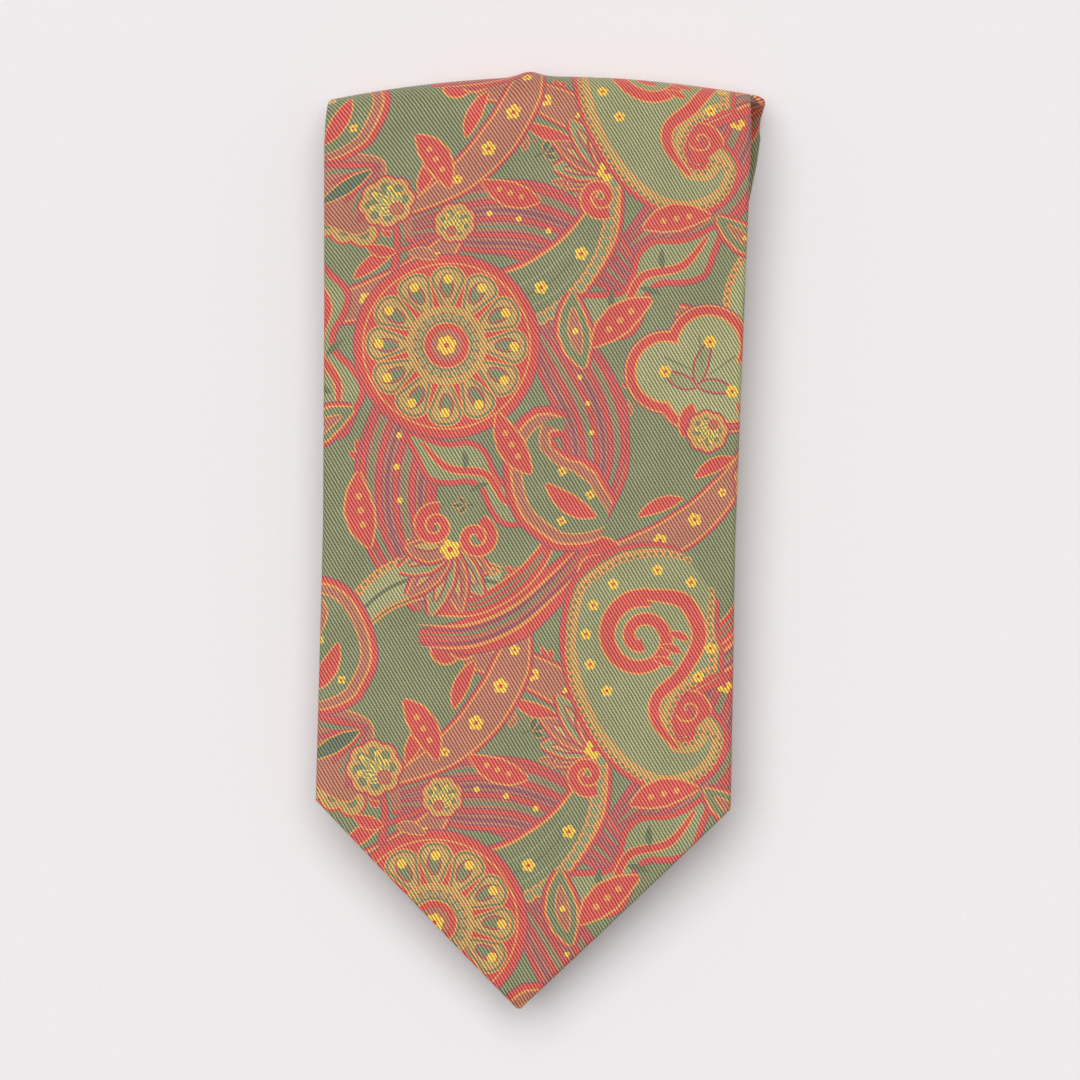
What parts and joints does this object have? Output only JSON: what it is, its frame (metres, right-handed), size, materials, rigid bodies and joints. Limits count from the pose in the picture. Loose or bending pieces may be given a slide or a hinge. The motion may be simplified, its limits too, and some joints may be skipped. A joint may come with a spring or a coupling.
{
  "type": "necktie",
  "caption": "Wide-bladed printed silk necktie folded flat into a roll, with the pointed blade on top as a flap that opens at the top fold.",
  "frame": {"origin": "bottom centre of the folded tie's box, on the surface it lies on", "axes": "+Y from the blade's point to the top fold, +Z out of the printed front of the blade, +X to the right seen from the front"},
  "size_m": [0.1018, 0.216, 0.0188],
  "materials": {
    "printed_silk": "printed twill, soft sheen",
    "interlining": "brushed wool, matt",
    "tipping": "plain satin lining",
    "thread": "spun silk thread",
    "label_satin": "blank woven satin"
  },
  "bodies": {
    "folded_packet": {"return_shell": "printed_silk", "neck_shell": "printed_silk", "tail_shell": "printed_silk", "crest_shell": "printed_silk", "crest_interlining": "interlining", "crest_seam_thread": "thread", "packet_interlining": "interlining", "tail_tipping": "tipping", "packet_seam_thread": "thread", "tail_bar_tack": "thread", "blade_neck_join_thread": "thread", "neck_tail_join_thread": "thread"},
    "blade_flap": {"blade_shell": "printed_silk", "blade_interlining": "interlining", "blade_tipping": "tipping", "blade_seam_thread": "thread", "blade_bar_tack": "thread", "spare_thread_loop": "thread", "keeper_loop": "printed_silk", "brand_label": "label_satin", "care_label": "label_satin", "keeper_stitches_left": "thread", "keeper_stitches_right": "thread", "label_stitches_left": "thread", "label_stitches_right": "thread"}
  },
  "joints": [
    {"name": "blade_opens", "type": "hinge", "parent": "folded_packet", "child": "blade_flap", "pos_m": [0, 0.10705, 0.00937], "axis": [-1, 0, 0], "range_deg": [0, 180], "deforming": ["crest_shell", "crest_interlining", "crest_seam_thread"]}
  ]
}
